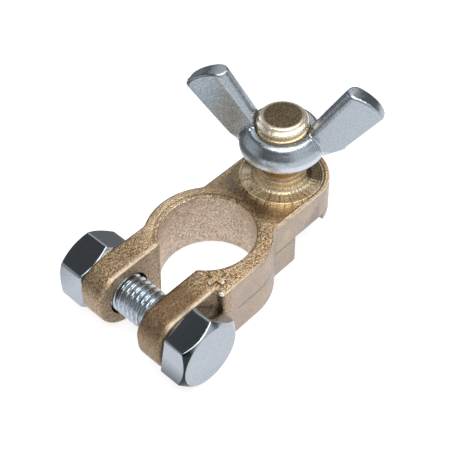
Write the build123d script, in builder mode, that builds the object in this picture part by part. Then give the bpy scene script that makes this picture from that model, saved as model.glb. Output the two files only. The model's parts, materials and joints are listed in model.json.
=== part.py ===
from build123d import *
import math
import os

# Battery terminal clamp: a brass clamp ring with two ears, and a stud standing on
# its tail; a hexagon clamp bolt with its nut; and a wing nut for the cable lug.
# Lengths are in mm, angles in degrees. The origin is on the post bore's axis at the
# ring's underside: +Z up along the bore, +X towards the stud, -Y towards the bolt
# head.

# ---------------------------------------------------------------- clamp ring
ring_height = 13.5
bore_top_radius = 9.05
post_taper = 1 / 9                  # change of diameter per mm of height
bore_bottom_radius = bore_top_radius + post_taper * ring_height / 2
bore_edge_round = 0.3
ring_outer_radius = 12.2
ring_centre_y = -0.25
head_side_wall_y = ring_centre_y - ring_outer_radius
far_side_wall_y = ring_centre_y + ring_outer_radius
body_edge_round = 0.6

# ---------------------------------------------------------------- ears
slot_width = 9.1
head_ear_step = 2.15                # ears' outer faces, set in from the ring's sides
far_ear_step = 1.95
head_ear_outer_y = head_side_wall_y + head_ear_step
far_ear_outer_y = far_side_wall_y - far_ear_step
ear_end_x = -23.0
ear_top_corner_radius = 5.0
ear_bottom_corner_radius = 6.8
ear_root_round = 2.0
head_side_edge_round = 0.9
slot_edge_round = 0.8
shoulder_x = -8.8                   # step that keeps the bolt head from turning
shoulder_root_round = 0.8
through_reach = 40.0                # cuts go this far, past every side

# ---------------------------------------------------------------- tail and seat
tail_half_width = 9.0
tail_end_centre_x = 21.2
tail_thickness = 6.6
tail_underside_z = ring_height - tail_thickness
tail_root_round = 1.5
block_end_x = 14.7
block_end_round = 0.3
lip_start_x = 23.0
lip_wall = 2.0
lip_depth = 1.85
seat_radius = 8.05
seat_depth = 0.2
seat_z = ring_height - seat_depth

# ---------------------------------------------------------------- stud, M10 coarse
stud_x = 20.6
stud_radius = 4.92
stud_top_z = 28.4
stud_tip_round = 1.6
stud_root_round = 1.5

# ---------------------------------------------------------------- clamp bolt and nut, M8
bolt_x = -16.2
bolt_z = ring_height / 2
bolt_radius = 3.94
bolt_length = 28.0
bolt_tip_chamfer = 0.9
bolt_hole_radius = 4.45
bolt_head_height = 5.85
bolt_head_turn = 18.0
bolt_head_face_radius = 6.2
bolt_head_chamfer_angle = 41.0
washer_face_height = 0.4
washer_face_radius = 5.9
clamp_nut_height = 6.5
clamp_nut_turn = 22.0
hexagon_across_flats = 13.0
hexagon_corner_radius = hexagon_across_flats / math.sqrt(3)
nut_face_radius = 6.3
nut_chamfer_angle = 30.0
thread_clearance = 0.05             # running clearance of a nut on its thread
nut_mouth_chamfer = 0.5

# ---------------------------------------------------------------- wing nut
wing_nut_bottom_z = 20.6
wing_nut_top_z = 25.75
hub_foot_radius = 7.4
hub_rim_radius = 8.15
hub_rim_z = 21.7
hub_side_radius = 7.4
hub_side_z = 23.8
hub_shoulder_radius = 6.95
hub_shoulder_z = 25.1
hub_top_radius = 6.1
wings = [                           # turn about the stud, inner edge set out, tip raised
    (-63.85, 0.9, 0.3),
    (116.15, 0.0, 0.0),
]
wing_inner_root = (-3.0, 15.1)      # distance from the stud's axis, height
wing_inner_tip = (12.1, 39.0)
wing_outer_root = (12.0, 23.85)
wing_outer_tip = (19.45, 33.6)
wing_inner_thickness = 3.95
wing_outer_thickness = 2.4
wing_inner_round = 1.75
wing_outer_round = 1.05
wing_tip_outline = [
    (19.0, 30.0),
    (18.35, 31.9),
    (17.5, 33.5),
    (15.6, 35.1),
    (13.2, 36.15),
    (10.8, 36.45),
    (8.4, 36.3),
]
wing_tip_round = 0.5
wing_root_radius = 5.3              # clear round the stud above the hub
tip_cut_reach = 10.0


def has_z(edge, z):
    return abs(edge.center().Z - z) < 0.01


def chamfer_drop(face_radius, angle):
    return (hexagon_corner_radius - face_radius) * math.tan(math.radians(angle))


def ring_x_at(y):
    return math.sqrt(ring_outer_radius**2 - (y - ring_centre_y) ** 2)


def upright_edges(part, x, y):
    upright = part.edges().filter_by(Axis.Z)
    return upright.filter_by(
        lambda edge: abs(edge.center().X - x) < 0.01 and abs(edge.center().Y - y) < 0.01
    )


os.makedirs("parts", exist_ok=True)

# ================================================================ clamp body
with BuildPart() as clamp_body:
    # ring, ears and the straight wall on the bolt head's side
    with BuildSketch(Plane.XY) as ring_plan:
        with Locations((0, ring_centre_y)):
            Circle(ring_outer_radius)
        with Locations((ear_end_x / 2, (far_ear_outer_y + head_ear_outer_y) / 2)):
            Rectangle(-ear_end_x, far_ear_outer_y - head_ear_outer_y)
        with Locations((shoulder_x / 2, head_side_wall_y / 2)):
            Rectangle(-shoulder_x, -head_side_wall_y)
        # block between the ring and the tail
        with Locations((block_end_x / 2, 0)):
            Rectangle(block_end_x, 2 * tail_half_width)
    extrude(amount=ring_height)
    # tail slab
    with BuildSketch(Plane.XY.offset(tail_underside_z)) as tail_plan:
        with Locations((tail_end_centre_x / 2, 0)):
            Rectangle(tail_end_centre_x, 2 * tail_half_width)
        with Locations((tail_end_centre_x, 0)):
            Circle(tail_half_width)
    extrude(amount=tail_thickness)
    # ear ends, rounded as seen from the side
    with BuildSketch(Plane.XZ) as side_outline:
        with BuildLine() as side_line:
            Line((through_reach, 0), (ear_end_x + ear_bottom_corner_radius, 0))
            CenterArc(
                (ear_end_x + ear_bottom_corner_radius, ear_bottom_corner_radius),
                ear_bottom_corner_radius,
                180,
                90,
            )
            Line(
                (ear_end_x, ear_bottom_corner_radius),
                (ear_end_x, ring_height - ear_top_corner_radius),
            )
            CenterArc(
                (ear_end_x + ear_top_corner_radius, ring_height - ear_top_corner_radius),
                ear_top_corner_radius,
                90,
                90,
            )
            Line((ear_end_x + ear_top_corner_radius, ring_height), (through_reach, ring_height))
            Line((through_reach, ring_height), (through_reach, 0))
        make_face()
    extrude(amount=through_reach, both=True, mode=Mode.INTERSECT)
    # concave corners: the far ear and the tail run into the ring, and the shoulder
    ear_root = upright_edges(clamp_body, -ring_x_at(far_ear_outer_y), far_ear_outer_y)
    fillet(ear_root, ear_root_round)
    for tail_side_y in (-tail_half_width, tail_half_width):
        tail_root = upright_edges(clamp_body, ring_x_at(tail_side_y), tail_side_y)
        fillet(tail_root, tail_root_round)
    shoulder_root = upright_edges(clamp_body, shoulder_x, head_ear_outer_y)
    fillet(shoulder_root, shoulder_root_round)
    # slot between the ears
    with BuildSketch(Plane.XY) as slot_plan:
        with Locations((ear_end_x / 2, 0)):
            Rectangle(-ear_end_x + 10, slot_width)
    extrude(amount=ring_height, mode=Mode.SUBTRACT)
    # softened edges: the head-side ear, the slot, then everything round the outside
    head_side_ear = clamp_body.edges().filter_by(
        lambda edge: abs(edge.center().Y - head_ear_outer_y) < 0.01
        and edge.center().X < shoulder_x
        and edge.length < ring_height - 1
    )
    fillet(head_side_ear, head_side_edge_round)
    for side in (-1, 1):
        slot_edges = clamp_body.edges().filter_by(
            lambda edge: abs(edge.center().Y - side * slot_width / 2) < 0.01
            and edge.center().X < -2
            and abs(edge.length - ring_height) > 0.01
        )
        fillet(slot_edges, slot_edge_round)
    far_ear = clamp_body.edges().filter_by(
        lambda edge: abs(edge.center().Y - far_ear_outer_y) < 0.01 and edge.center().X < -8
    )
    outside = clamp_body.edges().filter_by(
        lambda edge: (has_z(edge, 0) or has_z(edge, ring_height))
        and edge.center().X > shoulder_x
        and (abs(edge.center().Y) > tail_half_width - 0.1 or edge.center().X > block_end_x + 10)
    )
    fillet(far_ear + outside, body_edge_round)
    block_end = clamp_body.edges().filter_by(
        lambda edge: has_z(edge, 0) and abs(edge.center().X - block_end_x) < 0.01
    )
    fillet(block_end, block_end_round)

    # tapered bore for the battery post
    with BuildSketch(Plane.XY) as bore_bottom:
        Circle(bore_bottom_radius)
    with BuildSketch(Plane.XY.offset(ring_height)) as bore_top:
        Circle(bore_top_radius)
    loft(mode=Mode.SUBTRACT)

    bore_rims = clamp_body.edges().filter_by(
        lambda edge: (has_z(edge, 0) or has_z(edge, ring_height))
        and edge.geom_type == GeomType.CIRCLE
        and abs(edge.arc_center.X) < 0.01
        and abs(edge.arc_center.Y) < 0.01
    )
    fillet(bore_rims, bore_edge_round)
    # clearance hole for the clamp bolt, through both ears
    with BuildSketch(Plane(origin=(bolt_x, 0, bolt_z), z_dir=(0, 1, 0))) as bolt_hole:
        Circle(bolt_hole_radius)
    extrude(amount=through_reach, both=True, mode=Mode.SUBTRACT)
    # machined seat, and the stud with its threaded length left plain
    with BuildSketch(Plane.XY.offset(seat_z)) as seat_plan:
        with Locations((stud_x, 0)):
            Circle(seat_radius)
    extrude(amount=ring_height, mode=Mode.SUBTRACT)
    with BuildSketch(Plane.XY.offset(seat_z)) as stud_plan:
        with Locations((stud_x, 0)):
            Circle(stud_radius)
    extrude(amount=stud_top_z - seat_z)
    stud_rims = clamp_body.edges().filter_by(GeomType.CIRCLE)
    stud_rims = stud_rims.filter_by(lambda edge: abs(edge.radius - stud_radius) < 0.001)
    fillet(stud_rims.sort_by(Axis.Z)[0], stud_root_round)
    fillet(stud_rims.sort_by(Axis.Z)[-1], stud_tip_round)
    # lip round the tail's end, below the slab
    with BuildSketch(Plane.XY.offset(tail_underside_z)) as lip_plan:
        with Locations((tail_end_centre_x, 0)):
            Circle(tail_half_width)
            Circle(tail_half_width - lip_wall, mode=Mode.SUBTRACT)
        with Locations((lip_start_x / 2, 0)):
            Rectangle(lip_start_x, 3 * tail_half_width, mode=Mode.SUBTRACT)
    extrude(amount=-lip_depth)

clamp_body.part.label = "clamp_body"
export_step(clamp_body.part, "parts/clamp_body.step")

# ================================================================ clamp bolt
with BuildPart() as clamp_bolt:
    head_plane = Plane(origin=(bolt_x, head_ear_outer_y, bolt_z), x_dir=(1, 0, 0), z_dir=(0, -1, 0))
    with BuildSketch(head_plane) as head_hexagon:
        RegularPolygon(hexagon_corner_radius, 6, rotation=bolt_head_turn)
    extrude(amount=bolt_head_height)
    # washer face under the head and the chamfer on its face
    head_face_y = head_ear_outer_y - bolt_head_height
    head_rim_y = head_face_y + chamfer_drop(bolt_head_face_radius, bolt_head_chamfer_angle)
    washer_face_y = head_ear_outer_y - washer_face_height
    with BuildSketch(Plane.XY.offset(bolt_z)) as head_section:
        with BuildLine() as head_line:
            Polyline(
                (bolt_x, head_ear_outer_y),
                (bolt_x + washer_face_radius, head_ear_outer_y),
                (bolt_x + washer_face_radius, washer_face_y),
                (bolt_x + hexagon_corner_radius, washer_face_y),
                (bolt_x + hexagon_corner_radius, head_rim_y),
                (bolt_x + bolt_head_face_radius, head_face_y),
                (bolt_x, head_face_y),
                close=True,
            )
        make_face()
    bolt_axis = Axis((bolt_x, 0, bolt_z), (0, 1, 0))
    revolve(axis=bolt_axis, revolution_arc=360, mode=Mode.INTERSECT)
    # shank, plain at the thread's outside diameter
    with BuildSketch(head_plane) as shank_plan:
        Circle(bolt_radius)
    extrude(amount=-bolt_length)
    chamfer(clamp_bolt.faces().sort_by(Axis.Y)[-1].edges(), bolt_tip_chamfer)

clamp_bolt.part.label = "clamp_bolt"
export_step(clamp_bolt.part, "parts/clamp_bolt.step")

# ================================================================ clamp nut
with BuildPart() as clamp_nut:
    nut_plane = Plane(origin=(bolt_x, far_ear_outer_y, bolt_z), x_dir=(1, 0, 0), z_dir=(0, -1, 0))
    with BuildSketch(nut_plane) as nut_hexagon:
        RegularPolygon(hexagon_corner_radius, 6, rotation=clamp_nut_turn)
    extrude(amount=-clamp_nut_height)
    nut_face_y = far_ear_outer_y + clamp_nut_height
    nut_chamfer_drop = chamfer_drop(nut_face_radius, nut_chamfer_angle)
    with BuildSketch(Plane.XY.offset(bolt_z)) as nut_section:
        with BuildLine() as nut_line:
            Polyline(
                (bolt_x, far_ear_outer_y),
                (bolt_x + nut_face_radius, far_ear_outer_y),
                (bolt_x + hexagon_corner_radius, far_ear_outer_y + nut_chamfer_drop),
                (bolt_x + hexagon_corner_radius, nut_face_y - nut_chamfer_drop),
                (bolt_x + nut_face_radius, nut_face_y),
                (bolt_x, nut_face_y),
                close=True,
            )
        make_face()
    revolve(axis=Axis((bolt_x, 0, bolt_z), (0, 1, 0)), mode=Mode.INTERSECT)
    with BuildSketch(nut_plane) as nut_bore:
        Circle(bolt_radius + thread_clearance)
    extrude(amount=-clamp_nut_height, mode=Mode.SUBTRACT)
    nut_mouths = clamp_nut.edges().filter_by(GeomType.CIRCLE)
    nut_mouths = nut_mouths.filter_by(
        lambda edge: abs(edge.radius - bolt_radius - thread_clearance) < 0.001
    )
    chamfer(nut_mouths, nut_mouth_chamfer)

clamp_nut.part.label = "clamp_nut"
export_step(clamp_nut.part, "parts/clamp_nut.step")

# ================================================================ wing nut
with BuildPart() as wing_nut:
    stud_foot = Vector(stud_x, 0, 0)
    for turn, inner_set_out, tip_rise in wings:
        radial = Vector(math.cos(math.radians(turn)), math.sin(math.radians(turn)), 0)
        across = Vector(-radial.Y, radial.X, 0)
        for inner, outer in (
            (wing_inner_root, wing_outer_root),
            (wing_inner_tip, wing_outer_tip),
        ):
            inner_point = stud_foot + radial * (inner[0] + inner_set_out) + Vector(0, 0, inner[1])
            outer_point = stud_foot + radial * outer[0] + Vector(0, 0, outer[1])
            width = (outer_point - inner_point).length
            down_wing = (outer_point - inner_point).normalized()
            section_plane = Plane(inner_point, x_dir=down_wing, z_dir=down_wing.cross(across))
            with BuildSketch(section_plane) as wing_section:
                with BuildLine() as wing_line:
                    Polyline(
                        (0, -wing_inner_thickness / 2),
                        (width, -wing_outer_thickness / 2),
                        (width, wing_outer_thickness / 2),
                        (0, wing_inner_thickness / 2),
                        close=True,
                    )
                make_face()
                fillet(wing_section.vertices().sort_by(Axis.X)[:2], wing_inner_round)
                fillet(wing_section.vertices().sort_by(Axis.X)[-2:], wing_outer_round)
        loft()
        # tip, cut to its curve and softened
        tip_origin = stud_foot + across * tip_cut_reach + Vector(0, 0, tip_rise)
        wing_plane = Plane(tip_origin, x_dir=radial, z_dir=-across)
        with BuildSketch(wing_plane) as beyond_tip:
            with BuildLine() as tip_line:
                Spline(*wing_tip_outline)
                Polyline(
                    wing_tip_outline[-1],
                    (wing_tip_outline[-1][0], wing_tip_outline[-1][1] + tip_cut_reach),
                    (
                        wing_tip_outline[0][0] + tip_cut_reach,
                        wing_tip_outline[-1][1] + tip_cut_reach,
                    ),
                    wing_tip_outline[0],
                )
            make_face()
        extrude(amount=2 * tip_cut_reach, mode=Mode.SUBTRACT)
    tip_edges = wing_nut.edges().filter_by(
        lambda edge: edge.geom_type != GeomType.LINE
        and edge.center().Z > wing_tip_outline[1][1] - 0.5
    )
    fillet(tip_edges, wing_tip_round)
    # roots, cut off level with the hub's foot and clear of the stud
    with BuildSketch(Plane.XY.offset(wing_nut_bottom_z)) as below_hub:
        with Locations((stud_x, 0)):
            Circle(2 * hub_rim_radius)
    extrude(amount=-hub_rim_radius, mode=Mode.SUBTRACT)
    with BuildSketch(Plane.XY.offset(wing_nut_bottom_z)) as wing_clearance:
        with Locations((stud_x, 0)):
            Circle(wing_root_radius)
    extrude(amount=hub_rim_radius * 2, mode=Mode.SUBTRACT)
    hub_plane = Plane(origin=(stud_x, 0, 0), x_dir=(1, 0, 0), z_dir=(0, -1, 0))
    with BuildSketch(hub_plane) as hub_section:
        with BuildLine() as hub_line:
            Line((0, wing_nut_bottom_z), (hub_foot_radius, wing_nut_bottom_z))
            Spline(
                (hub_foot_radius, wing_nut_bottom_z),
                (hub_rim_radius, hub_rim_z),
                (hub_side_radius, hub_side_z),
                (hub_shoulder_radius, hub_shoulder_z),
                (hub_top_radius, wing_nut_top_z),
            )
            Line((hub_top_radius, wing_nut_top_z), (0, wing_nut_top_z))
            Line((0, wing_nut_top_z), (0, wing_nut_bottom_z))
        make_face()
    revolve(axis=Axis((stud_x, 0, 0), (0, 0, 1)))
    with BuildSketch(Plane.XY.offset(wing_nut_bottom_z)) as wing_nut_bore:
        with Locations((stud_x, 0)):
            Circle(stud_radius + thread_clearance)
    extrude(amount=stud_top_z, mode=Mode.SUBTRACT)

wing_nut.part.label = "wing_nut"
export_step(wing_nut.part, "parts/wing_nut.step")
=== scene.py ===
import json
import math

import bmesh
import bpy
from mathutils import Matrix, Vector, noise
from mathutils.geometry import intersect_point_line


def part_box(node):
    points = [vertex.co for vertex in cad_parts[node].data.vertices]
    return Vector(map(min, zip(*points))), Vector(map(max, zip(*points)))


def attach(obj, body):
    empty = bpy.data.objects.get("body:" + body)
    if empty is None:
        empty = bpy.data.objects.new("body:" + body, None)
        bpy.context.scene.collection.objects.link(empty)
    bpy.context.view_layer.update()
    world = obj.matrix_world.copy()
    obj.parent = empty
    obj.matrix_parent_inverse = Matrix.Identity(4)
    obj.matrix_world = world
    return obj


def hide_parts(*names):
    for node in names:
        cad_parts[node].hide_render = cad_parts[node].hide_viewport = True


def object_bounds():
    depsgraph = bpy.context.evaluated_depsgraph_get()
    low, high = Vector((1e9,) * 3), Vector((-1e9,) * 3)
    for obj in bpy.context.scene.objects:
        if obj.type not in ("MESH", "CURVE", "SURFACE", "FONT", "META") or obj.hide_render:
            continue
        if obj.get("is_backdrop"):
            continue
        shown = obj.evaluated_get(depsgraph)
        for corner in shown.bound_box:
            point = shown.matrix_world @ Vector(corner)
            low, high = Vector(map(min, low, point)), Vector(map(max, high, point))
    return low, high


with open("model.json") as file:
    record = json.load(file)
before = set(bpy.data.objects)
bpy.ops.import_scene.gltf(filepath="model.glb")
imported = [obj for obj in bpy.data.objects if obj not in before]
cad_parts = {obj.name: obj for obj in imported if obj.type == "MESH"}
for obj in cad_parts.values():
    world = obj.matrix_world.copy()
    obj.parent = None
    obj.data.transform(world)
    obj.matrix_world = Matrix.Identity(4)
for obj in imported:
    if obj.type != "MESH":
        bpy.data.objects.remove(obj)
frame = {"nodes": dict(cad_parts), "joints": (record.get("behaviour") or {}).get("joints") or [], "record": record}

# Finishes and fine forms of a battery terminal clamp: a forged brass clamp body with a threaded
# stud, a zinc-plated clamp bolt with its nut, and a zinc-plated wing nut.
# Lengths are in metres unless a name ends in _mm. The frame's own boxes and joints give the places.

bl_info = {
    "name": "Battery Terminal Clamp",
    "version": (1, 0, 0),
    "blender": (4, 5, 0),
    "location": "3D View > Sidebar > Terminal Clamp",
    "description": "Dresses the pieces of a battery terminal clamp and lights them on a plain stage",
    "category": "Object",
}

MM = 0.001
THREAD_CLEARANCE = 0.05 * MM

# shades of single places on the brass: lighter tops, painted highlights, painted shade and painted shadow; and the
# painted reflection on the wing nut's lower rim
LIGHT_TOP_BRASS = (0.98, 0.76, 0.5)
EDGE_HIGHLIGHT_BRASS = (0.98, 0.82, 0.6)
BEAD_HIGHLIGHT_BRASS = (1.0, 0.93, 0.8)
END_HIGHLIGHT_BRASS = (1.0, 0.98, 0.92)
RIM_HIGHLIGHT_BRASS = (1.0, 0.93, 0.76)
NECK_SHADE_BRASS = (0.42, 0.23, 0.085)
BEVEL_HIGHLIGHT_BRASS = (0.9, 0.82, 0.7)
SEAT_PAINTED_SHADOW = (0.05, 0.028, 0.012)
RIM_REFLECTION_ZINC = (0.8, 0.86, 0.92)

# ---------------------------------------------------------------- places taken from the frame
stud_top_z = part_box("clamp_body")[1].z
bolt_low, bolt_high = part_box("clamp_bolt")
nut_low, nut_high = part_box("clamp_nut")
joint_places = {joint["name"]: Vector(joint["pos_m"]) for joint in frame["joints"]}
mount_places = {mount["name"]: Vector(mount["pos_m"]) for mount in frame["record"]["mounts"]}
stud_axis = joint_places["wing_nut_turn"]
bolt_axis = joint_places["clamp_nut_turn"]
seat_z = mount_places["lug_seat"].z
seat_centre = Vector((stud_axis.x, stud_axis.y, seat_z))
stud_foot = Vector((stud_axis.x, stud_axis.y, 0))


# ================================================================ settings
def length(name, description, default_mm):
    return bpy.props.FloatProperty(
        name=name, description=description, default=default_mm * MM, unit="LENGTH", precision=5
    )


def angle(name, description, degrees):
    return bpy.props.FloatProperty(
        name=name, description=description, default=math.radians(degrees), subtype="ANGLE"
    )


def colour(name, description, default):
    return bpy.props.FloatVectorProperty(
        name=name, description=description, default=default, subtype="COLOR"
    )


class ClampBodySettings(bpy.types.PropertyGroup):
    ring_height: length("Ring height", "Height of the ring's top over its underside", 13.5)
    grain_size: length("Grain size", "Width of one grain of the forged brass skin", 0.32)
    grain_depth: length("Grain depth", "Height of the grain of the forged brass skin", 0.12)
    cross_x: length("Cross, along the clamp", "Place of the plus mark along the clamp", -6.95)
    cross_y: length("Cross, across the clamp", "Place of the plus mark across the clamp", -8.85)
    cross_arm: length("Cross arm", "Length of one arm of the raised plus mark", 1.85)
    cross_width: length("Cross width", "Width of the arms of the raised plus mark", 0.95)
    cross_height: length("Cross height", "Height of the plus mark over the ring's top", 0.6)
    parting_height: length("Parting line", "Height of the forging dies' parting line", 6.6)


class StudSettings(bpy.types.PropertyGroup):
    radius: length("Radius", "Outside radius of the stud's thread", 4.92)
    pitch: length("Pitch", "Rise of the stud's thread in one turn", 1.5)
    tip_round: length("Tip round", "Rounding of the stud's upper end", 1.6)
    root_round: length("Root round", "Rounding between the stud and its seat", 1.5)
    seat_radius: length("Seat radius", "Outer radius of the turned seat round the stud", 8.05)
    seat_relief: length("Seat relief", "Depth of the cutter's marks on the seat", 0.085)


class BoltSettings(bpy.types.PropertyGroup):
    across_flats: length("Across flats", "Width of the head and of the nut over their flats", 13.0)
    head_height: length("Head height", "Height of the bolt's hexagon head", 5.85)
    head_face: length("Head face", "Radius of the flat face inside the head's chamfer", 6.2)
    head_chamfer: angle("Head chamfer", "Slope of the chamfer on the bolt's head", 41)
    head_turn: angle("Head turn", "Turn of the bolt's head about its axis", 18)
    washer_radius: length("Washer face", "Radius of the washer face under the head", 5.9)
    washer_height: length("Washer face height", "Height of the washer face under the head", 0.4)
    nut_face: length("Nut face", "Radius of the flat faces inside the nut's chamfers", 6.3)
    nut_chamfer: angle("Nut chamfer", "Slope of the chamfers on the nut", 30)
    nut_turn: angle("Nut turn", "Turn of the clamp nut about its axis", 22)
    thread_radius: length("Thread radius", "Outside radius of the bolt's thread", 3.94)
    pitch: length("Pitch", "Rise of the bolt's thread in one turn", 1.25)
    tip_chamfer: length("Tip chamfer", "Rounding of the bolt's far end", 0.9)
    edge_round: length("Edge round", "Rounding of the hexagons' edges", 0.22)


class WingNutSettings(bpy.types.PropertyGroup):
    surface_step: length("Surface step", "Size of one step of the wing nut's surface", 0.15)
    root_blend: bpy.props.IntProperty(
        name="Root blend",
        description="How far the wings run smoothly into the hub",
        default=14,
        min=0,
        max=200,
    )
    wing_turn: angle("Wing turn", "Direction of one wing, seen from above", -63.85)
    bore_clear: length("Bore, clear", "Radius of the hub's inside, clear of the thread", 5.2)
    burr_width: length("Burr width", "Half width of the fine burrs at the wings' roots", 0.17)
    burr_height: length("Burr height", "Height of the fine burrs at the wings' roots", 0.32)
    seam_height: length("Seam height", "Height of the seam along each wing's edge", 0.14)


class FinishSettings(bpy.types.PropertyGroup):
    brass_dark: colour("Brass, hollows", "Forged brass in the hollows of its grain", (0.2, 0.118, 0.055))
    brass_light: colour("Brass, crests", "Forged brass on the crests of its grain", (0.8, 0.58, 0.35))
    brass_wall: colour("Brass, walls", "Smoother brass of the upright walls", (0.485, 0.402, 0.322))
    brass_cut: colour("Brass, turned", "Brass of the turned seat and stud", (0.86, 0.71, 0.47))
    brass_end: colour("Brass, cut end", "Tarnished brass of the stud's end", (0.085, 0.062, 0.034))
    zinc: colour("Zinc", "Bright zinc plate", (0.475, 0.53, 0.572))


class StageSettings(bpy.types.PropertyGroup):
    azimuth: angle("Camera azimuth", "Camera direction round the object", -45.01)
    elevation: angle("Camera elevation", "Camera height as an angle", 47.096)
    roll: angle("Camera roll", "Turn of the camera about its own axis", -2.152)
    distance: length("Camera distance", "Distance from the camera to its target", 165.065)
    target: bpy.props.FloatVectorProperty(
        name="Camera target",
        description="Point that the camera looks at",
        default=(-2.54 * MM, -7.12 * MM, 22.532 * MM),
        subtype="TRANSLATION",
    )
    field_of_view: angle("Field of view", "Angle across the picture", 26.35)
    overhead_power: bpy.props.FloatProperty(
        name="Overhead light", description="Power of the soft light overhead, in watts", default=3.2
    )
    room_glow: bpy.props.FloatProperty(
        name="Room glow", description="Brightness of the pale card behind the clamp", default=0.62
    )


# ================================================================ node helpers
class Nodes:
    """A node tree whose nodes are added by short calls."""

    def __init__(self, owner):
        owner.use_nodes = True
        self.tree = owner.node_tree

    def node(self, kind, inputs=None, **values):
        node = self.tree.nodes.new(kind)
        for key, value in values.items():
            setattr(node, key, value)
        for key, value in (inputs or {}).items():
            self.give(node.inputs[key], value)
        return node

    def give(self, socket, value):
        if isinstance(value, bpy.types.NodeSocket):
            self.tree.links.new(value, socket)
        else:
            socket.default_value = value

    def parts(self, vector):
        return self.node("ShaderNodeSeparateXYZ", {0: vector}).outputs

    def math(self, operation, first, second=0.0):
        return self.node("ShaderNodeMath", {0: first, 1: second}, operation=operation).outputs[0]

    def times(self, first, second):
        return self.math("MULTIPLY", first, second)

    def distance(self, value, other):
        """How far two values lie apart."""
        return self.math("ABSOLUTE", self.math("SUBTRACT", value, other))

    def most(self, first, *others):
        """The strongest of some masks."""
        for mask in others:
            first = self.math("MAXIMUM", first, mask)
        return first

    def zone(self, strength, *fades):
        """A mask of one strength; each fade is a value, where it starts to show and where it is full."""
        for value, start, full in fades:
            strength = self.times(strength, self.spread(value, start, full))
        return strength

    def spread(self, value, low, high, to_low=0.0, to_high=1.0):
        inputs = {"Value": value, "From Min": low, "From Max": high}
        inputs.update({"To Min": to_low, "To Max": to_high})
        return self.node("ShaderNodeMapRange", inputs).outputs["Result"]

    def blend(self, factor, first, second, way="MIX"):
        mix = self.node("ShaderNodeMix", {"Factor": factor}, data_type="RGBA", blend_type=way)
        for socket, value in ((mix.inputs[6], first), (mix.inputs[7], second)):
            self.give(socket, value if isinstance(value, bpy.types.NodeSocket) else (*value, 1.0))
        return mix.outputs[2]


class Shader(Nodes):
    """A new material's nodes."""

    def __init__(self, name):
        self.material = bpy.data.materials.new(name)
        super().__init__(self.material)

    def set(self, name, value):
        self.give(self.tree.nodes["Principled BSDF"].inputs[name], value)

    def place(self):
        return self.node("ShaderNodeTexCoord").outputs["Object"]

    def facing(self):
        """X, Y and Z of the way that the surface faces."""
        return self.parts(self.node("ShaderNodeTexCoord").outputs["Normal"])

    def noise(self, vector, size, detail=2.0, roughness=0.5, distortion=0.0):
        inputs = {"Vector": vector, "Scale": 1.0 / size, "Detail": detail}
        inputs.update({"Roughness": roughness, "Distortion": distortion})
        return self.node("ShaderNodeTexNoise", inputs).outputs["Fac"]

    def bump(self, height, distance, strength=1.0, after=None):
        inputs = {"Height": height, "Distance": distance, "Strength": strength}
        if after is not None:
            inputs["Normal"] = after
        return self.node("ShaderNodeBump", inputs).outputs["Normal"]

    def round_axis(self, centre):
        """Angle, distance and height of a point about an upright axis."""
        inputs = {0: self.place(), 1: tuple(-centre)}
        moved = self.node("ShaderNodeVectorMath", inputs, operation="ADD").outputs[0]
        parts = self.parts(moved)
        turn = self.math("ARCTAN2", parts["Y"], parts["X"])
        flat = self.node("ShaderNodeCombineXYZ", {0: parts["X"], 1: parts["Y"]}).outputs[0]
        reach = self.node("ShaderNodeVectorMath", {0: flat}, operation="LENGTH").outputs["Value"]
        return turn, reach, parts["Z"]

    def streaks(self, along, across, detail=3.0):
        """Noise drawn out along one direction, from two plain values."""
        vector = self.node("ShaderNodeCombineXYZ", {0: along, 1: across}).outputs[0]
        inputs = {"Vector": vector, "Scale": 1.0, "Detail": detail, "Roughness": 0.6}
        return self.node("ShaderNodeTexNoise", inputs).outputs["Fac"]


# ================================================================ materials
def shaded(colour, share):
    """A colour made darker or lighter by a share."""
    return [min(1.0, channel * share) for channel in colour]


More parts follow.
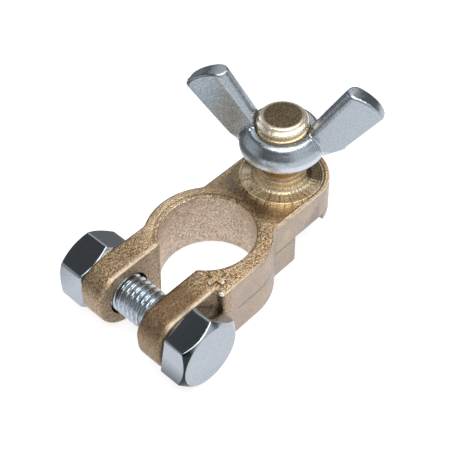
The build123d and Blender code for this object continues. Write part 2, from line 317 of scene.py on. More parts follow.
class ForgedSkin(Shader):
    """Forged brass of the clamp body, with the masks that its shades and its relief share."""

    def __init__(self, finish, body):
        super().__init__("brass_forged")
        self.finish = finish
        self.body = body
        place = self.place()
        self.across = self.parts(place)
        self.slope = self.facing()
        _, reach, self.over_parting = self.round_axis(Vector((0, 0, body.parting_height)))
        self.seat_turn, self.seat_reach, _ = self.round_axis(seat_centre)
        self.grain = self.noise(place, body.grain_size, detail=4.0, roughness=0.68)
        self.lumps = self.noise(place, 2.4 * body.grain_size, detail=3.0, roughness=0.6)
        self.patches = self.noise(place, 3.4 * MM, detail=3.0, roughness=0.55)
        self.outside = self.spread(reach, 9.7 * MM, 10.1 * MM)
        self.bore = self.math("SUBTRACT", 1.0, self.outside)
        cracks = self.noise(place, 1.3 * MM, detail=4.0, roughness=0.65, distortion=1.2)
        cracks = self.spread(self.distance(cracks, 0.5), 0.0, 0.022, 0.55, 0.0)
        self.cracks = self.times(self.bore, cracks)
        self.top = self.spread(self.slope["Z"], 0.1, 0.6)
        self.pocket = self.zone(
            0.8, (self.across["X"], -6.6 * MM, -7.4 * MM), (self.slope["Y"], -0.3, -0.7)
        )
        self.golden = self.golden_zone()
        low_on_ends = self.spread(self.slope["X"], -0.45, -0.2, 0.1, 1.0)
        self.edge = self.zone(low_on_ends, (self.slope["Z"], 0.25, 0.55), (self.slope["Z"], 0.96, 0.8))
        # parting line of the forging dies, round the outside
        self.line = self.zone(
            self.outside,
            (self.distance(self.over_parting, 0.0), 0.2 * MM, 0.05 * MM),
            (self.across["X"], -5.6 * MM, -5.0 * MM),
        )

    def golden_zone(self):
        """The tops, and more thinly the ears' ends, the slot's walls and the head's pocket."""
        # the ears' ends take the browner golden shade as painted shade
        ends = self.zone(self.times(self.outside, 0.75), (self.slope["X"], -0.2, -0.7))
        from_middle = self.distance(self.across["Y"], 0.0)
        slot = self.zone(
            0.75, (from_middle, 5.2 * MM, 4.5 * MM), (self.across["X"], -8.0 * MM, -10.0 * MM)
        )
        return self.most(self.top, ends, slot, self.pocket)

    def golden_shade(self):
        finish = self.finish
        gold = self.blend(self.spread(self.grain, 0.44, 0.55), finish.brass_dark, finish.brass_light)
        return self.blend(self.spread(self.patches, 0.42, 0.7, 0.0, 0.3), gold, finish.brass_wall)

    def wall_shade(self):
        """Pale walls, painted palest in the bore as painted light; the bore is pitted and finely cracked."""
        finish = self.finish
        dull = shaded(finish.brass_wall, 0.7)
        wall = self.blend(self.spread(self.grain, 0.34, 0.58), dull, finish.brass_wall)
        # painted light: the bore's wall is lightened
        wall = self.blend(self.times(self.bore, 0.85), wall, shaded(finish.brass_wall, 1.75))
        pits = self.times(self.bore, self.spread(self.grain, 0.54, 0.38, 0.0, 0.6))
        wall = self.blend(pits, wall, finish.brass_dark)
        wall = self.blend(self.cracks, wall, finish.brass_dark)
        return self.blend(self.spread(self.patches, 0.45, 0.75, 0.0, 0.25), wall, finish.brass_light)

    def lighter_tops(self):
        """Lighter places on the top: the tail's near side and the far side of the ring."""
        x, y = self.across["X"], self.across["Y"]
        tail = self.zone(0.5, (x, 7.0 * MM, 11.0 * MM), (y, -3.0 * MM, -6.0 * MM))
        ring = self.zone(0.45, (x, -11.0 * MM, -7.0 * MM), (y, 3.0 * MM, 8.0 * MM))
        return self.times(self.golden, self.most(tail, ring))

    def darker_and_shaded(self):
        """Darker places on the tops: the ears and the tail's hollow; painted shadow in the tail's back corner and
        painted shade in the seat's groove.
        """
        x, y = self.across["X"], self.across["Y"]
        ears = self.zone(self.spread(y, 6.0 * MM, -4.5 * MM, 0.3, 0.78), (x, -7.5 * MM, -13.0 * MM))
        hollow = self.zone(0.38, (x, 5.0 * MM, 9.0 * MM), (y, -7.0 * MM, -4.0 * MM))
        # painted shadow of the wing nut on the tail's back corner
        corner = self.zone(0.6, (x, 22.0 * MM, 24.5 * MM), (y, -5.0 * MM, 0.0))
        # painted shade in the groove round the seat
        from_groove = self.distance(self.seat_reach, 8.3 * MM)
        groove = self.zone(0.85, (from_groove, 0.3 * MM, 0.08 * MM))
        return self.times(self.golden, self.most(ears, hollow, corner, groove))

    def painted_highlight(self):
        """Painted highlight on the rounded edges, patchy, and strongest on the bolt head's side."""
        share = self.times(self.edge, self.spread(self.slope["Y"], -0.15, -0.45, 0.0, 0.5))
        share = self.math("ADD", share, self.spread(self.lumps, 0.35, 0.6, 0.35, 0.7))
        return self.math("MINIMUM", self.times(self.edge, share), 1.0)

    def mark_foot_shade(self):
        """Painted shade in a line round the foot of the plus mark."""
        body = self.body
        from_x = self.distance(self.across["X"], body.cross_x)
        from_y = self.distance(self.across["Y"], body.cross_y)
        aside = self.math("SUBTRACT", self.math("MINIMUM", from_x, from_y), body.cross_width / 2)
        beyond = self.math("SUBTRACT", self.most(from_x, from_y), body.cross_arm)
        top_z = body.ring_height
        return self.zone(
            0.8,
            (self.most(aside, beyond), 0.3 * MM, 0.1 * MM),
            (self.across["Z"], top_z + 0.2 * MM, top_z + 0.1 * MM),
        )

    def relief(self):
        """Grain, lumps, parting line and cracks, and the seat cutter's scratches on the tail."""
        deep = self.body.grain_depth
        scratches = self.streaks(self.times(self.seat_turn, 16.0), self.times(self.seat_reach, 300.0))
        scratches = self.zone(self.times(scratches, self.top), (self.seat_reach, 11.5 * MM, 8.2 * MM))
        depth = self.spread(self.golden, 0.0, 1.0, 0.5, 1.0)
        depth = self.times(depth, self.spread(self.edge, 0.0, 1.0, 1.0, 0.35))
        depth = self.math("ADD", depth, self.times(self.bore, 0.6))
        crinkle = self.math("ADD", depth, self.times(self.bore, 0.6))
        normal = self.bump(self.times(self.grain, depth), deep)
        normal = self.bump(self.times(self.lumps, crinkle), 1.1 * deep, after=normal)
        normal = self.bump(self.patches, 0.3 * MM, 0.6, after=normal)
        normal = self.bump(self.line, 0.12 * MM, after=normal)
        normal = self.bump(self.cracks, 0.12 * MM, after=normal)
        return self.bump(scratches, 0.2 * MM, after=normal)


def forged_brass(finish, body):
    """Forged brass skin: grainy and golden on top, smoother and paler on the upright walls."""
    skin = ForgedSkin(finish, body)
    darker_brass = shaded(finish.brass_dark, 0.75)
    shade = skin.blend(skin.golden, skin.wall_shade(), skin.golden_shade())
    # lighter places on the top
    shade = skin.blend(skin.lighter_tops(), shade, LIGHT_TOP_BRASS)
    # darker places, with painted shadow and painted shade
    shade = skin.blend(skin.darker_and_shaded(), shade, darker_brass)
    # painted highlight on the rounded edges
    shade = skin.blend(skin.painted_highlight(), shade, EDGE_HIGHLIGHT_BRASS)
    shade = skin.blend(skin.times(skin.line, 0.75), shade, shaded(finish.brass_light, 0.3))
    # painted shade round the foot of the plus mark
    skin.set("Base Color", skin.blend(skin.mark_foot_shade(), shade, darker_brass))
    skin.set("Metallic", skin.spread(skin.pocket, 0.0, 0.8, 1.0, 0.55))
    rough = skin.spread(skin.lumps, 0.3, 0.7, 0.24, 0.42)
    skin.set("Roughness", skin.math("SUBTRACT", rough, skin.times(skin.edge, 0.13)))
    skin.set("Normal", skin.relief())
    return skin.material


def fine_grain(shader, finish):
    """Grain of the small raised forms, and the golden shade that goes with it."""
    grain = shader.noise(shader.place(), 0.3 * MM, detail=4.0, roughness=0.65)
    gold = shader.blend(shader.spread(grain, 0.42, 0.58), finish.brass_dark, finish.brass_light)
    shader.set("Normal", shader.bump(grain, 0.05 * MM))
    return grain, gold


def flash_brass(finish):
    """Brass of the beads of flash: grainy on top, with a painted highlight on their sides."""
    shader = Shader("brass_flash")
    grain, gold = fine_grain(shader, finish)
    top = shader.spread(shader.facing()["Z"], 0.75, 0.97)
    # painted highlight on the beads' sides
    shader.set("Base Color", shader.blend(top, BEAD_HIGHLIGHT_BRASS, gold))
    shader.set("Metallic", 0.8)
    shader.set("Roughness", shader.spread(grain, 0.3, 0.7, 0.2, 0.35))
    return shader.material


def plus_brass(finish, body):
    """Brass of the plus mark: painted shade on its flanks, painted light on the flanks in front, and a painted
    highlight on two ends.
    """
    shader = Shader("brass_plus_mark")
    grain, gold = fine_grain(shader, finish)
    facing = shader.facing()
    across = shader.parts(shader.place())
    darker_brass = shaded(finish.brass_dark, 0.4)
    # painted shade on the flanks
    shade = shader.blend(shader.spread(facing["Z"], 0.6, 0.9), darker_brass, gold)
    # painted light on the flanks that face the front
    before = shader.math("MINIMUM", facing["X"], facing["Y"])
    shade = shader.blend(shader.zone(0.75, (before, -0.1, -0.4)), shade, finish.brass_cut)
    from_x = shader.math("SUBTRACT", across["X"], body.cross_x)
    from_y = shader.math("SUBTRACT", across["Y"], body.cross_y)
    ends = []
    for axis, along, aside in (("X", from_x, from_y), ("Y", from_y, from_x)):
        end = shader.zone(
            1.0,
            (along, 0.6 * MM - body.cross_arm, 0.4 * MM - body.cross_arm),
            (facing[axis], -0.05, -0.35),
            (shader.distance(aside, 0.0), 0.34 * MM, 0.2 * MM),
        )
        ends.append(end)
    # painted highlight on the two ends that face the front
    painted_highlight = shader.most(*ends)
    shader.set("Base Color", shader.blend(painted_highlight, shade, END_HIGHLIGHT_BRASS))
    shader.set("Metallic", shader.spread(painted_highlight, 0.0, 0.5, 0.5, 0.0))
    shader.set("Roughness", shader.spread(grain, 0.3, 0.7, 0.25, 0.4))
    return shader.material


class TurnedBrass(Shader):
    """Lathe-cut brass of the stud and its seat; marks weighs the cutter's marks."""

    def __init__(self, name, finish, marks):
        super().__init__(name)
        self.marks = marks
        self.turn, self.reach, self.height = self.round_axis(seat_centre)
        self.chatter = self.streaks(self.times(self.turn, 30.0), self.times(self.reach, 200.0))
        self.grain = self.noise(self.place(), 0.3 * MM, detail=3.0)
        tone = self.math("ADD", self.chatter, self.times(self.grain, 0.4))
        tone = self.spread(tone, 0.53, 0.7, marks, 0.0)
        shade = self.blend(tone, finish.brass_cut, finish.brass_dark)
        # painted highlight along the seat's rim
        from_rim = self.distance(self.reach, 7.85 * MM)
        self.shade = self.blend(self.zone(0.85, (from_rim, 0.26 * MM, 0.08 * MM)), shade, RIM_HIGHLIGHT_BRASS)

    # lays a colour over the shade where a mask shows: painted shadow, shade and highlight, and the cut end's
    # colour
    def paint_over(self, mask, colour):
        self.shade = self.blend(mask, self.shade, colour)

    def finished(self):
        rings = self.streaks(self.times(self.reach, 4200.0), self.times(self.height, 4200.0), detail=2.0)
        self.set("Base Color", self.shade)
        self.set("Metallic", 0.8)
        self.set("Roughness", self.spread(self.grain, 0.3, 0.7, 0.17, 0.32))
        normal = self.bump(self.grain, 0.03 * MM)
        normal = self.bump(self.chatter, 0.14 * MM, 0.8 * self.marks, after=normal)
        self.set("Normal", self.bump(rings, 0.05 * MM, 0.7 * self.marks, after=normal))
        return self.material


def seat_brass(finish):
    """Turned brass of the seat, with painted shadow on the side behind the stud."""
    brass = TurnedBrass("brass_turned_seat", finish, 1.0)
    # painted shadow of the wing nut on the seat, behind the stud
    behind = brass.math("COSINE", brass.math("SUBTRACT", brass.turn, math.radians(25)))
    behind = brass.math("ADD", behind, brass.spread(brass.grain, 0.3, 0.7, -0.12, 0.12))
    brass.paint_over(brass.zone(0.9, (behind, -0.1, 0.12), (brass.reach, 8.2 * MM, 7.7 * MM)), SEAT_PAINTED_SHADOW)
    return brass.finished()


def stud_brass(finish):
    """Turned brass of the stud: painted shade on the neck under the hub, a painted highlight on the bevel, and a
    cut end dark with tarnish.
    """
    brass = TurnedBrass("brass_turned_stud", finish, 0.35)
    height = brass.height
    end = stud_top_z - seat_centre.z
    # painted shade on the neck, darkest just under the wing nut's hub
    neck = brass.spread(height, 2.0 * MM, 4.0 * MM, 0.25, 0.55)
    below_nut = brass.zone(1.0, (height, 5.6 * MM, 7.2 * MM), (height, 9.0 * MM, 7.6 * MM))
    neck = brass.zone(brass.most(neck, below_nut), (height, 9.5 * MM, 8.0 * MM))
    brass.paint_over(neck, NECK_SHADE_BRASS)
    # painted highlight on the stud's bevel
    brass.paint_over(brass.zone(0.7, (height, end - 2.0 * MM, end - 1.4 * MM)), BEVEL_HIGHLIGHT_BRASS)
    specks = brass.spread(brass.grain, 0.4, 0.66)
    cut_end = brass.blend(specks, finish.brass_end, shaded(finish.brass_end, 2.4))
    brass.paint_over(brass.spread(height, end - 0.12 * MM, end - 0.02 * MM), cut_end)
    return brass.finished()


def painted_floor_shade(shader, shade, finish):
    """Painted shade: darkens the head's lower left side towards the floor, and the chamfer before it."""
    height = shader.parts(shader.place())["Z"]
    facing = shader.facing()
    foot = shader.zone(0.85, (facing["X"], -0.3, -0.55), (height, 8.6 * MM, 5.0 * MM))
    shade = shader.blend(foot, shade, shaded(finish.zinc, 0.22))
    chamfer = shader.zone(
        1.0, (facing["Y"], -0.97, -0.85), (facing["Y"], -0.2, -0.45), (facing["X"], -0.25, -0.42)
    )
    return shader.blend(chamfer, shade, shaded(finish.zinc, 0.07))


def zinc_plate(name, finish, roughness, skin, tint=1.0, pale_below=None, floor_shade=False):
    """Bright zinc plate over steel.

    skin sets its unevenness, tint its brightness, pale_below the height under which its rim is
    painted paler as a painted reflection, and floor_shade paints shade on the bolt head towards the floor.
    """
    shader = Shader(name)
    place = shader.place()
    swell = shader.noise(place, 2.4 * MM, detail=2.0)
    mottle = shader.noise(place, 0.55 * MM, detail=3.0, roughness=0.6)
    specks = shader.noise(place, 0.2 * MM, detail=2.0)
    bright = shaded(finish.zinc, tint)
    dull = shaded(finish.zinc, 0.78 * tint)
    shade = shader.blend(shader.spread(specks, 0.34, 0.6), dull, bright)
    metallic = 1.0
    # painted shade on the bolt head towards the floor
    if floor_shade:
        shade = painted_floor_shade(shader, shade, finish)
    if pale_below is not None:
        # painted reflection: the rim below pale_below is paler
        lower = shader.math("ADD", shader.parts(place)["Z"], shader.times(mottle, 0.5 * MM))
        rim = shader.spread(lower, pale_below, pale_below + 0.7 * MM, 1.0, 0.0)
        shade = shader.blend(rim, shade, RIM_REFLECTION_ZINC)
        metallic = shader.spread(rim, 0.0, 1.0, 1.0, 0.5)
    shader.set("Base Color", shade)
    shader.set("Metallic", metallic)
    shader.set("Roughness", shader.spread(mottle, 0.3, 0.7, roughness, roughness + 0.25 * skin))
    normal = shader.bump(specks, 0.014 * MM)
    normal = shader.bump(mottle, 0.1 * MM, skin, after=normal)
    shader.set("Normal", shader.bump(swell, 0.16 * MM, 0.4, after=normal))
    return shader.material


# ================================================================ mesh helpers
def mesh_object(name, mesh, materials, body, replaced=()):
    """A finished piece: in the scene, on its body and what it stands for."""
    piece = bpy.data.objects.new(name, mesh)
    bpy.context.scene.collection.objects.link(piece)
    for material in materials:
        mesh.materials.append(material)
    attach(piece, body)
    if replaced:
        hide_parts(*replaced)
    return piece


def smooth_shade(mesh, angle_degrees):
    """Shades a mesh smoothly, apart from edges that bend by more than an angle."""
    for polygon in mesh.polygons:
        polygon.use_smooth = True
    mesh.set_sharp_from_angle(angle=math.radians(angle_degrees))


def circle(radius, level, turns):
    return [Vector((radius * math.cos(turn), radius * math.sin(turn), level)) for turn in turns]


def full_turn(steps):
    return [2 * math.pi * step / steps for step in range(steps)]


def skin_rings(build, rings, closed=False):
    """Joins rings of points into a skin: closed on itself, or with a fan at each end."""
    made = [[build.verts.new(point) for point in ring] for ring in rings]
    pairs = list(zip(made, made[1:]))
    if closed:
        pairs.append((made[-1], made[0]))
    for lower, upper in pairs:
        for i in range(len(lower)):
            j = (i + 1) % len(lower)
            build.faces.new((lower[i], lower[j], upper[j], upper[i]))
    if not closed:
        for ring in (made[0][::-1], made[-1]):
            centre = build.verts.new(sum((vert.co for vert in ring), Vector()) / len(ring))
            for i, vert in enumerate(ring):
                build.faces.new((vert, ring[(i + 1) % len(ring)], centre))


def thread_cut(share, flat=0.125):
    """Depth of a 60 degree thread at a share of its pitch: 0 on the crest and 1 at the root."""
    away = abs(share % 1.0 - 0.5) * 2.0
    slope = min(max((away - flat) / (1.0 - 2.4 * flat), 0.0), 1.0)
    return slope * slope * (3.0 - 2.0 * slope)


def threaded_rings(radius, pitch, start, end, tip_round, run_out, steps_round=96, steps_pitch=14):
    """Rings of a right-hand thread along +Z, with a rounded tip and a run-out at its start."""
    depth = 0.58 * pitch
    rows = max(2, round((end - start) / pitch * steps_pitch))
    turns = full_turn(steps_round)
    rings = []
    for row in range(rows + 1):
        along = start + (end - start) * row / rows
        past_round = max(0.0, along - (end - tip_round)) / tip_round
        limit = radius - tip_round * (1.0 - math.sqrt(max(0.0, 1.0 - past_round * past_round)))
        fade = min(1.0, (along - start) / run_out)
        ring = []
        for turn in turns:
            cut = thread_cut(along / pitch - turn / (2 * math.pi))
            reach = min(radius - depth * fade * cut, limit)
            ring.append(Vector((reach * math.cos(turn), reach * math.sin(turn), along)))
        rings.append(ring)
    for share in (0.66, 0.33):
        rings.append([Vector((point.x * share, point.y * share, end)) for point in rings[rows]])
    return rings


def hexagon_reach(turn, across_flats, corner_round):
    """Distance from the axis to a hexagon's side, with its corners rounded."""
    off_flat = (turn + math.pi / 6) % (math.pi / 3) - math.pi / 6
    side = across_flats / 2
    corner = side / math.cos(math.pi / 6)
    sharp = side / math.cos(math.pi / 6 - abs(off_flat))
    limit = corner - corner_round * (2 / math.sqrt(3) - 1) * 2.0
    softness = 0.35 * corner_round
    return -softness * math.log(math.exp(-sharp / softness) + math.exp(-limit / softness))


class Hexagon:
    """A hexagon bar's outside from 0 to its height, as rings, with chamfered faces."""

    def __init__(self, across_flats, height, face_radius, chamfer, edge_round, steps=288):
        self.turns = full_turn(steps)
        self.height = height
        self.face_radius = face_radius
        self.slope = math.tan(chamfer)
        self.edge_round = edge_round
        self.reaches = [hexagon_reach(turn, across_flats, edge_round) for turn in self.turns]

    def outline(self, inset, drop, upper):
        """One ring of the bar, set in from its sides and a drop below (or above) its chamfer."""
        ring = []
        for turn, reach in zip(self.turns, self.reaches):
            fall = max(0.0, (reach - self.face_radius) * self.slope + drop)
            level = self.height - fall if upper else fall
            out = reach - inset
            ring.append(Vector((out * math.cos(turn), out * math.sin(turn), level)))
        return ring

    def chamfered(self, upper):
        """Rings from the bar's side over its chamfer to the middle of its face."""
        soft = self.edge_round
        rings = [
            self.outline(0.0, 1.9 * soft, upper),
            self.outline(0.0, 0.8 * soft, upper),
            self.outline(0.09 * soft, 0.25 * soft, upper),
            self.outline(0.4 * soft, -0.25 * soft, upper),
            self.outline(0.8 * soft, -0.8 * soft * self.slope, upper),
        ]
        rim = 0.35 * soft
        for radius, fall in (
            (self.face_radius + rim, rim * self.slope),
            (self.face_radius, 0.25 * rim * self.slope),
            (self.face_radius - rim, 0.0),
            (self.face_radius - 3.0 * rim, 0.0),
        ):
            level = self.height - fall if upper else fall
            rings.append(circle(radius, level, self.turns))
        return rings if upper else rings[::-1]


def finish_mesh(build, name, angle_degrees, place=Matrix.Identity(4)):
    """Turns a bmesh into a mesh in the frame's own place, with sound normals."""
    build.transform(place)
    bmesh.ops.recalc_face_normals(build, faces=build.faces)
    mesh = bpy.data.meshes.new(name)
    build.to_mesh(mesh)
    build.free()
    smooth_shade(mesh, angle_degrees)
    return mesh


def along_bolt(y, turn):
    """Place of a form whose own +Z runs along -Y and whose +X is turned up by turn."""
    axes = Matrix(((1, 0, 0), (0, 0, -1), (0, 1, 0))).to_4x4()
    spin = Matrix.Rotation(turn, 4, "Z")
    return Matrix.Translation((bolt_axis.x, y, bolt_axis.z)) @ axes @ spin


# ================================================================ operators
class CLAMP_OT_body(bpy.types.Operator):
    """Dress the forged clamp body and add its plus mark"""

    bl_idname = "clamp.body"
    bl_label = "Clamp Body"

    # beads of flash on the corner where the near ear leaves the ring: place and radius
    flash_beads_mm = (((-8.6, -11.75, 13.15), 0.55), ((-9.15, -10.1, 13.42), 0.36))

    def execute(self, context):
        body = context.scene.clamp_body_settings
        stud = context.scene.clamp_stud_settings
        finish = context.scene.clamp_finish_settings
        mesh = frame["nodes"]["clamp_body"].data.copy()
        mesh.name = "clamp_forging"
        mesh.materials.clear()
        build = bmesh.new()
        build.from_mesh(mesh)
        bmesh.ops.remove_doubles(build, verts=build.verts, dist=0.0005 * MM)
        # the stud gives way to its threaded form
        stud_root_z = seat_z + stud.root_round
        doomed = [face for face in build.faces if face.calc_center_median().z > stud_root_z]
        bmesh.ops.delete(build, geom=doomed, context="FACES")
        open_edges = [edge for edge in build.edges if edge.is_boundary]
        bmesh.ops.holes_fill(build, edges=open_edges, sides=0)
        for face in build.faces:
            face.material_index = 0
        build.to_mesh(mesh)
        build.free()
        smooth_shade(mesh, angle_degrees=32)
        mesh_object(
            "clamp_forging", mesh, [forged_brass(finish, body)], "clamp", ("clamp_body",)
        )
        self.plus_mark(body, finish)
        self.shoulder_burrs(finish)
        return {"FINISHED"}

    def shoulder_burrs(self, finish):
        build = bmesh.new()
        for place_mm, radius_mm in self.flash_beads_mm:
            place = Matrix.Translation(Vector(place_mm) * MM)
            bmesh.ops.create_icosphere(build, subdivisions=3, radius=radius_mm * MM, matrix=place)
        mesh = finish_mesh(build, "shoulder_burrs", angle_degrees=60)
        mesh_object("shoulder_burrs", mesh, [flash_brass(finish)], "clamp")

    def plus_mark(self, body, finish):
        """A raised plus with sloping ends, sunk a little into the ring's top."""
        sunk = 0.1 * MM
        end_slope = 0.38 * MM
        edge_round = 0.15 * MM
        half = body.cross_width / 2
        arm = body.cross_arm
        corner = [(half, half), (half, arm), (-half, arm)]
        outline = []
        for quarter in range(4):
            spin = Matrix.Rotation(quarter * math.pi / 2, 2)
            outline.extend(spin @ Vector(point) for point in corner)
        top_z = body.ring_height
        build = bmesh.new()
        base = []
        for point in outline:
            place = (body.cross_x + point.x, body.cross_y + point.y, top_z - sunk)
            base.append(build.verts.new(place))
        build.faces.new(base)
        lifted = bmesh.ops.extrude_face_region(build, geom=list(build.faces))
        for element in lifted["geom"]:
            if isinstance(element, bmesh.types.BMVert):
                element.co.z = top_z + body.cross_height
                for axis, centre in ((0, body.cross_x), (1, body.cross_y)):
                    out = element.co[axis] - centre
                    if abs(out) > (half + arm) / 2:
                        element.co[axis] -= math.copysign(end_slope, out)
        edges = list(build.edges)
        bmesh.ops.bevel(build, geom=edges, offset=edge_round, segments=4, affect="EDGES")
        mesh = finish_mesh(build, "plus_mark", angle_degrees=60)
        mesh_object("plus_mark", mesh, [plus_brass(finish, body)], "clamp")


class CLAMP_OT_stud(bpy.types.Operator):
    """Cut the thread of the lug stud and turn its seat"""

    bl_idname = "clamp.stud"
    bl_label = "Lug Stud and Seat"

    def execute(self, context):
        stud = context.scene.clamp_stud_settings
        finish = context.scene.clamp_finish_settings
        start = seat_z + stud.root_round - 0.15 * MM
        run_out = 1.5 * MM
        rings = threaded_rings(stud.radius, stud.pitch, start, stud_top_z, stud.tip_round, run_out)
        thread = bmesh.new()
        skin_rings(thread, rings)
        foot = Matrix.Translation(stud_foot)
        mesh = finish_mesh(thread, "stud_thread", angle_degrees=60, place=foot)
        mesh_object("stud_thread", mesh, [stud_brass(finish)], "clamp")
        seat = bmesh.new()
        skin_rings(seat, self.seat_rings(stud), closed=True)
        mesh = finish_mesh(seat, "turned_seat", angle_degrees=50, place=foot)
        mesh_object("turned_seat", mesh, [seat_brass(finish)], "clamp")
        return {"FINISHED"}

    def seat_rings(self, stud):
        """Rim, groove and flat of the seat, and the root of the stud, with the cutter's marks."""
        rim = stud.seat_radius
        skin = 0.03 * MM
        hidden = 0.2 * MM
        groove_width = 0.95 * MM
        root_centre = stud.radius + stud.root_round
        # distance from the axis, height over the seat, share of the cutter's marks
        profile = [
            (rim + hidden, 0.15 * MM, 0.0),
            (rim + 0.12 * MM, 0.26 * MM, 0.2),
            (rim, 0.31 * MM, 0.3),
            (rim - 0.12 * MM, 0.26 * MM, 0.3),
            (rim - 0.25 * MM, 0.1 * MM, 0.4),
            (rim - 0.45 * MM, 0.02 * MM, 0.6),
            (rim - 0.62 * MM, 0.1 * MM, 0.8),
            (rim - 0.8 * MM, 0.03 * MM, 1.0),
        ]
        for share in (0.0, 0.25, 0.5, 0.75):
            reach = rim - groove_width + share * (root_centre - rim + groove_width)
            profile.append((reach, skin, 1.0))
        for step in range(11):
            fall = math.radians(9 * step)
            reach = root_centre - stud.root_round * math.sin(fall)
            level = skin + stud.root_round * (1 - math.cos(fall))
            profile.append((reach, level, 1.0 - 0.09 * step))
        profile += [
            (stud.radius - 0.4 * MM, stud.root_round + 0.05 * MM, 0.0),
            (stud.radius - 0.4 * MM, -hidden, 0.0),
            (rim + hidden, -hidden, 0.0),
        ]
        rings = []
        for reach, level, marked in profile:
            ring = []
            for turn in full_turn(640):
                across = Vector((15 * math.cos(turn), 15 * math.sin(turn), 240 * reach))
                mark = noise.noise(across) + 0.5 * noise.noise(2.1 * across)
                height = seat_z + level + stud.seat_relief * marked * max(0.0, mark + 0.3)
                ring.append(Vector((reach * math.cos(turn), reach * math.sin(turn), height)))
            rings.append(ring)
        return rings


class CLAMP_OT_bolt(bpy.types.Operator):
    """Make the hexagon clamp bolt with its thread"""

    bl_idname = "clamp.bolt"
    bl_label = "Clamp Bolt"

    def execute(self, context):
        bolt = context.scene.clamp_bolt_settings
        finish = context.scene.clamp_finish_settings
        head_root = bolt_low.y + bolt.head_height
        build = bmesh.new()
        skin_rings(build, self.head_rings(bolt))
        build.transform(along_bolt(head_root, bolt.head_turn))
        head_faces = len(build.faces)
        build.from_mesh(self.shank(bolt, head_root))
        for face in list(build.faces)[head_faces:]:
            face.material_index = 1
        mesh = finish_mesh(build, "hexagon_bolt", angle_degrees=40)
        # painted light: the thread's zinc is lighter than the head's
        materials = (
            zinc_plate("zinc_bolt_head", finish, roughness=0.09, skin=0.1, floor_shade=True),
            zinc_plate("zinc_bolt_thread", finish, roughness=0.2, skin=0.12, tint=1.35),
        )
        mesh_object("hexagon_bolt", mesh, materials, "clamp", ("clamp_bolt",))
        return {"FINISHED"}

    def head_rings(self, bolt):
        """Washer face, sides and chamfered face of the head, from the clamp outwards."""
        bar = Hexagon(
            bolt.across_flats, bolt.head_height, bolt.head_face, bolt.head_chamfer, bolt.edge_round
        )
        base = bolt.washer_height
        rings = [
            circle(bolt.washer_radius, 0.0, bar.turns),
            circle(bolt.washer_radius, base, bar.turns),
        ]
        for inset, rise in ((0.8, 0.0), (0.25, 0.25), (0.0, 0.8)):
            ring = bar.outline(inset * bolt.edge_round, 0.0, upper=False)
            for point in ring:
                point.z = base + rise * bolt.edge_round
            rings.append(ring)
        return rings + bar.chamfered(upper=True)

    def shank(self, bolt, head_root):
        """The threaded shank, from just inside the head to its far end."""
        start = -0.3 * MM
        end = bolt_high.y - head_root
        run_out = 2.0 * MM
        rings = threaded_rings(bolt.thread_radius, bolt.pitch, start, end, bolt.tip_chamfer, run_out)
        build = bmesh.new()
        skin_rings(build, rings)
        towards_nut = Matrix.Rotation(-math.pi / 2, 4, "X")
        build.transform(Matrix.Translation((bolt_axis.x, head_root, bolt_axis.z)) @ towards_nut)
        mesh = bpy.data.meshes.new("bolt_shank")
        build.to_mesh(mesh)
        build.free()
        return mesh


class CLAMP_OT_nut(bpy.types.Operator):
    """Make the hexagon clamp nut"""

    bl_idname = "clamp.nut"
    bl_label = "Clamp Nut"

    def execute(self, context):
        bolt = context.scene.clamp_bolt_settings
        finish = context.scene.clamp_finish_settings
        height = nut_high.y - nut_low.y
        bar = Hexagon(bolt.across_flats, height, bolt.nut_face, bolt.nut_chamfer, bolt.edge_round)
        hole = bolt.thread_radius + THREAD_CLEARANCE
        mouth = 0.5 * MM
        rings = bar.chamfered(upper=False) + bar.chamfered(upper=True)
        for radius, level in (
            (hole + mouth, height),
            (hole, height - mouth),
            (hole, mouth),
            (hole + mouth, 0.0),
        ):
            rings.append(circle(radius, level, bar.turns))
        build = bmesh.new()
        skin_rings(build, rings, closed=True)
        place = along_bolt(nut_high.y, bolt.nut_turn)
        mesh = finish_mesh(build, "hexagon_nut", angle_degrees=40, place=place)
        material = zinc_plate("zinc_nut", finish, roughness=0.1, skin=0.14)
        mesh_object("hexagon_nut", mesh, [material], "clamp_nut", ("clamp_nut",))
        return {"FINISHED"}


